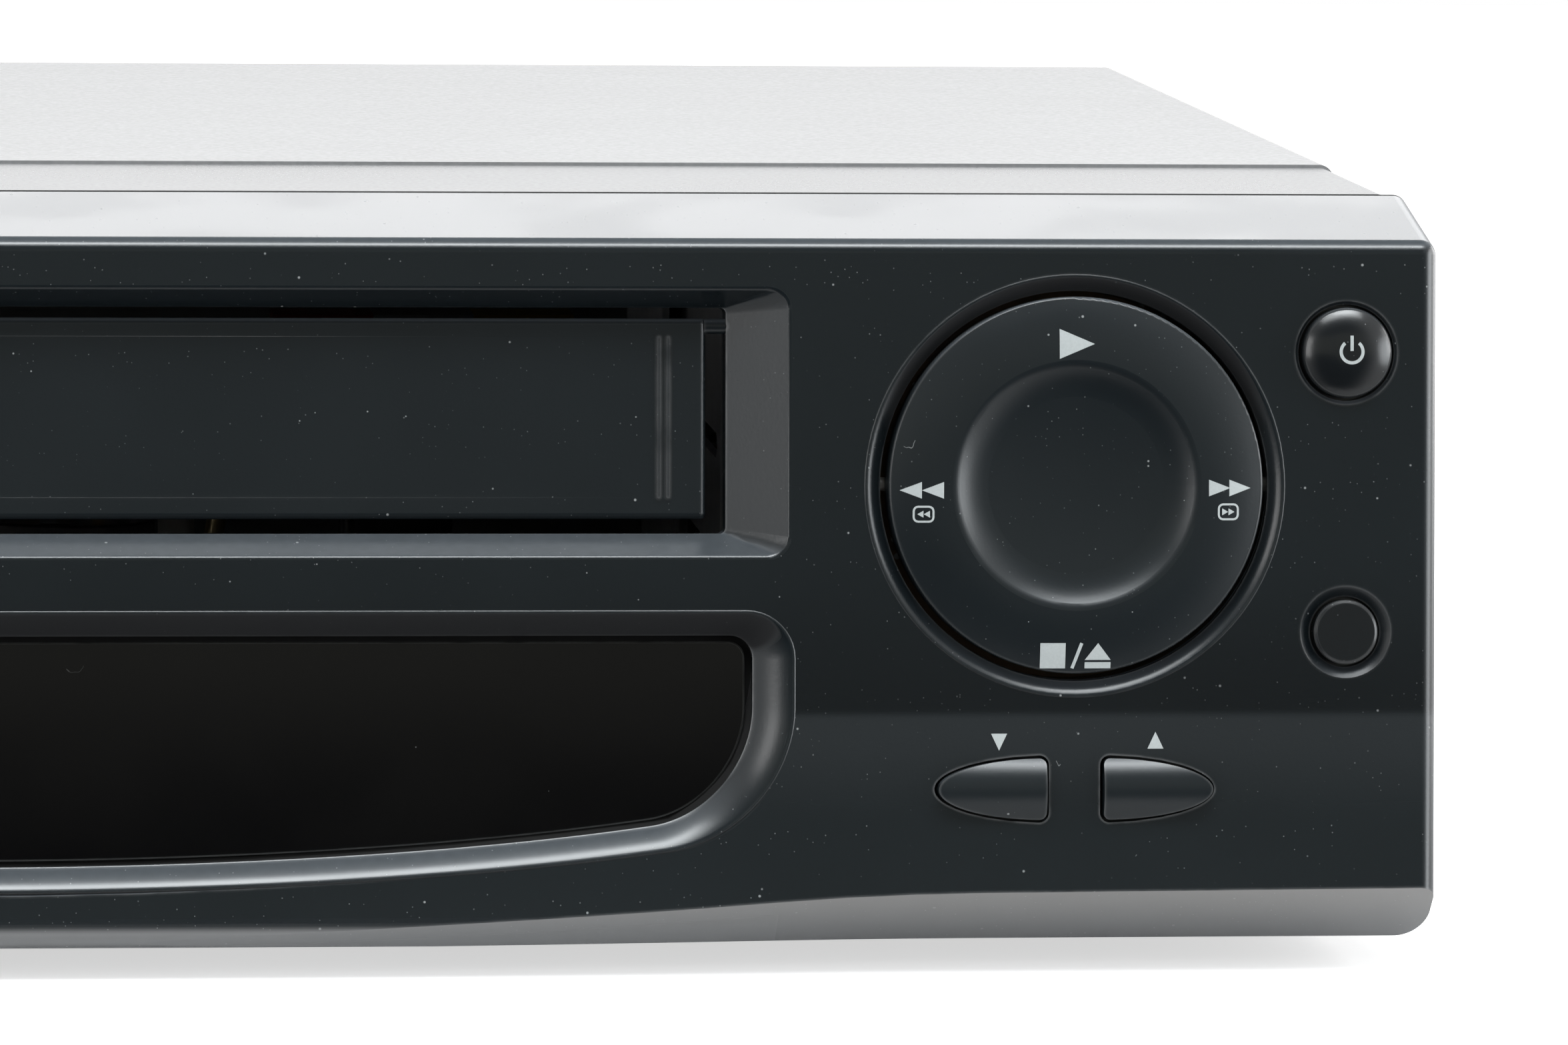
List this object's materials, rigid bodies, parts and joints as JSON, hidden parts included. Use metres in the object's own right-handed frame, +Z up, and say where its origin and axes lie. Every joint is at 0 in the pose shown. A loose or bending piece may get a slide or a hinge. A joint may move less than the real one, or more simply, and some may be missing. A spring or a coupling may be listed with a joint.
{
  "type": "video cassette recorder",
  "caption": "Front-loading video cassette recorder with a charcoal front, a cassette flap, a dark display window, a round transport dial and a grey steel cover over its tape deck.",
  "frame": {"origin": "on the surface the feet stand on, under the middle of the machine", "axes": "+X to the right as seen from the front, the front looks along -Y, +Z up"},
  "size_m": [0.38, 0.3101, 0.1005],
  "materials": {
    "bezel_plastic": "satin, fine moulded texture",
    "button_plastic": "satin",
    "window_acrylic": "gloss, dark",
    "cover_paint": "satin metallic, fine grain",
    "zinc_sheet": "zinc plated",
    "bright_steel": "polished",
    "screw_steel": "black",
    "cast_alloy": "machined",
    "board_green": "solder mask",
    "board_brown": "phenolic board",
    "black_plastic": "moulded",
    "white_plastic": "acetal",
    "rubber": "matt",
    "tube_glass": "clear",
    "brass": "machined"
  },
  "bodies": {
    "case": {"front_bezel": "bezel_plastic", "display_window": "window_acrylic", "front_board": "board_brown", "tact_switches": "black_plastic", "display_tube": "tube_glass", "top_cover": "cover_paint", "cover_screws": "screw_steel", "base_tray": "zinc_sheet", "rubber_feet": "rubber", "rear_panel": "zinc_sheet", "mains_inlet": "black_plastic", "aerial_sockets": "bright_steel", "phono_sockets": "black_plastic", "main_board": "board_green", "power_board": "board_brown", "board_capacitors": "black_plastic", "tuner_can": "zinc_sheet", "power_transformer": "black_plastic", "heat_sink": "cast_alloy", "loader_bracket_left": "zinc_sheet", "loader_bracket_right": "zinc_sheet", "loader_brace": "zinc_sheet", "deck_plate": "zinc_sheet", "capstan_bearing": "brass", "capstan_stator": "board_brown", "drive_belt": "rubber", "drum_base": "cast_alloy", "drum_bearings": "bright_steel", "erase_head": "bright_steel", "audio_head": "bright_steel", "loading_motor": "bright_steel"},
    "flap": {"cassette_flap": "bezel_plastic"},
    "gimbal": {"dial_gimbal": "white_plastic"},
    "dial": {"transport_dial": "button_plastic"},
    "power": {"power_button": "button_plastic"},
    "record": {"record_button": "button_plastic"},
    "channel_down": {"channel_down_button": "button_plastic"},
    "channel_up": {"channel_up_button": "button_plastic"},
    "slider": {"loader_slider": "black_plastic"},
    "holder": {"cassette_holder": "zinc_sheet"},
    "supply": {"supply_reel": "white_plastic"},
    "take_up": {"take_up_reel": "white_plastic"},
    "capstan": {"capstan_flywheel": "bright_steel"},
    "clutch": {"clutch_hub": "black_plastic"},
    "idler": {"idler_arm": "zinc_sheet"},
    "idler_roll": {"idler_wheel": "rubber"},
    "drum": {"head_drum": "cast_alloy"},
    "guide_supply": {"guide_base_supply": "brass"},
    "guide_take_up": {"guide_base_take_up": "brass"},
    "roller_supply": {"guide_roller_supply": "white_plastic"},
    "roller_take_up": {"guide_roller_take_up": "white_plastic"},
    "pinch": {"pinch_arm": "zinc_sheet"},
    "pinch_roll": {"pinch_roller": "rubber"},
    "tension": {"tension_arm": "zinc_sheet"},
    "cam": {"cam_gear": "white_plastic"},
    "worm": {"loading_worm": "white_plastic"}
  },
  "joints": [
    {"name": "flap_hinge", "type": "hinge", "parent": "case", "child": "flap", "pos_m": [0, -0.14197, 0.08408], "axis": [-1, 0, 0], "range_deg": [-85, 0], "stiffness_Nm_per_rad": 0.004, "springref_deg": 11.46},
    {"name": "dial_tilt_up_down", "type": "hinge", "parent": "case", "child": "gimbal", "pos_m": [0.1424, -0.14227, 0.06345], "axis": [1, 0, 0], "range_deg": [-2, 2], "stiffness_Nm_per_rad": 2},
    {"name": "dial_tilt_left_right", "type": "hinge", "parent": "gimbal", "child": "dial", "pos_m": [0.1424, -0.14227, 0.06345], "axis": [0, 0.0872, 0.9962], "range_deg": [-2, 2], "stiffness_Nm_per_rad": 2},
    {"name": "power_press", "type": "slide", "parent": "case", "child": "power", "axis": [0, 0.9962, -0.0872], "range_m": [0, 0.001], "stiffness_N_per_m": 400},
    {"name": "record_press", "type": "slide", "parent": "case", "child": "record", "axis": [0, 0.9962, -0.0872], "range_m": [0, 0.001], "stiffness_N_per_m": 400},
    {"name": "channel_down_press", "type": "slide", "parent": "case", "child": "channel_down", "axis": [0, 0.9962, -0.0872], "range_m": [0, 0.001], "stiffness_N_per_m": 400},
    {"name": "channel_up_press", "type": "slide", "parent": "case", "child": "channel_up", "axis": [0, 0.9962, -0.0872], "range_m": [0, 0.001], "stiffness_N_per_m": 400},
    {"name": "carriage_in", "type": "slide", "parent": "case", "child": "slider", "axis": [0, 1, 0], "range_m": [-0.066, 0]},
    {"name": "carriage_down", "type": "slide", "parent": "slider", "child": "holder", "axis": [0, 0, -1], "range_m": [0, 0.027]},
    {"name": "supply_spin", "type": "hinge", "parent": "case", "child": "supply", "pos_m": [-0.046, -0.064, 0.03], "axis": [0, 0, 1], "continuous": true},
    {"name": "take_up_spin", "type": "hinge", "parent": "case", "child": "take_up", "pos_m": [0.046, -0.064, 0.03], "axis": [0, 0, 1], "continuous": true},
    {"name": "capstan_spin", "type": "hinge", "parent": "case", "child": "capstan", "pos_m": [0.064, 0.016, 0.02], "axis": [0, 0, 1], "continuous": true},
    {"name": "clutch_spin", "type": "hinge", "parent": "case", "child": "clutch", "pos_m": [0, -0.03, 0.02], "axis": [0, 0, 1], "continuous": true},
    {"name": "idler_swing", "type": "hinge", "parent": "case", "child": "idler", "pos_m": [0, -0.03, 0.028], "axis": [0, 0, 1], "range_deg": [-31, 31]},
    {"name": "idler_spin", "type": "hinge", "parent": "idler", "child": "idler_roll", "pos_m": [0, -0.058, 0.026], "axis": [0, 0, 1], "continuous": true},
    {"name": "drum_spin", "type": "hinge", "parent": "case", "child": "drum", "pos_m": [-0.004, 0.036, 0.0236], "axis": [0.0872, 0, 0.9962], "continuous": true},
    {"name": "cam_turn", "type": "hinge", "parent": "case", "child": "cam", "pos_m": [-0.066, 0.078, 0.033], "axis": [0, 0, 1], "range_deg": [0, 150]},
    {"name": "worm_turn", "type": "hinge", "parent": "case", "child": "worm", "pos_m": [-0.066, 0.1013, 0.0335], "axis": [1, 0, 0], "range_deg": [0, 5400]},
    {"name": "guide_supply_load", "type": "slide", "parent": "case", "child": "guide_supply", "axis": [-0.2747, 0.9615, 0], "range_m": [0, 0.05824]},
    {"name": "roller_supply_spin", "type": "hinge", "parent": "guide_supply", "child": "roller_supply", "pos_m": [-0.034, -0.016, 0.04], "axis": [0, 0, 1], "continuous": true},
    {"name": "guide_take_up_load", "type": "slide", "parent": "case", "child": "guide_take_up", "axis": [0.2272, 0.9738, 0], "range_m": [0, 0.06161]},
    {"name": "roller_take_up_spin", "type": "hinge", "parent": "guide_take_up", "child": "roller_take_up", "pos_m": [0.03, -0.016, 0.04], "axis": [0, 0, 1], "continuous": true},
    {"name": "pinch_swing", "type": "hinge", "parent": "case", "child": "pinch", "pos_m": [0.082, 0.008, 0.027], "axis": [0, 0, -1], "range_deg": [0, 25]},
    {"name": "pinch_spin", "type": "hinge", "parent": "pinch", "child": "pinch_roll", "pos_m": [0.0635, -0.0016, 0.042], "axis": [0, 0, 1], "continuous": true},
    {"name": "tension_swing", "type": "hinge", "parent": "case", "child": "tension", "pos_m": [-0.08, 0.008, 0.027], "axis": [0, 0, 1], "range_deg": [0, 45]}
  ],
  "couplings": [
    {"joint": "clutch_spin", "follows": "capstan_spin", "ratio": 0.573},
    {"joint": "idler_spin", "follows": "capstan_spin", "ratio": -0.8777},
    {"joint": "worm_turn", "follows": "cam_turn", "ratio": 36},
    {"joint": "guide_supply_load", "follows": "cam_turn", "m_per_rad": 0.022246},
    {"joint": "guide_take_up_load", "follows": "cam_turn", "m_per_rad": 0.023534},
    {"joint": "pinch_swing", "follows": "cam_turn", "ratio": 0.1666},
    {"joint": "tension_swing", "follows": "cam_turn", "ratio": 0.3}
  ]
}
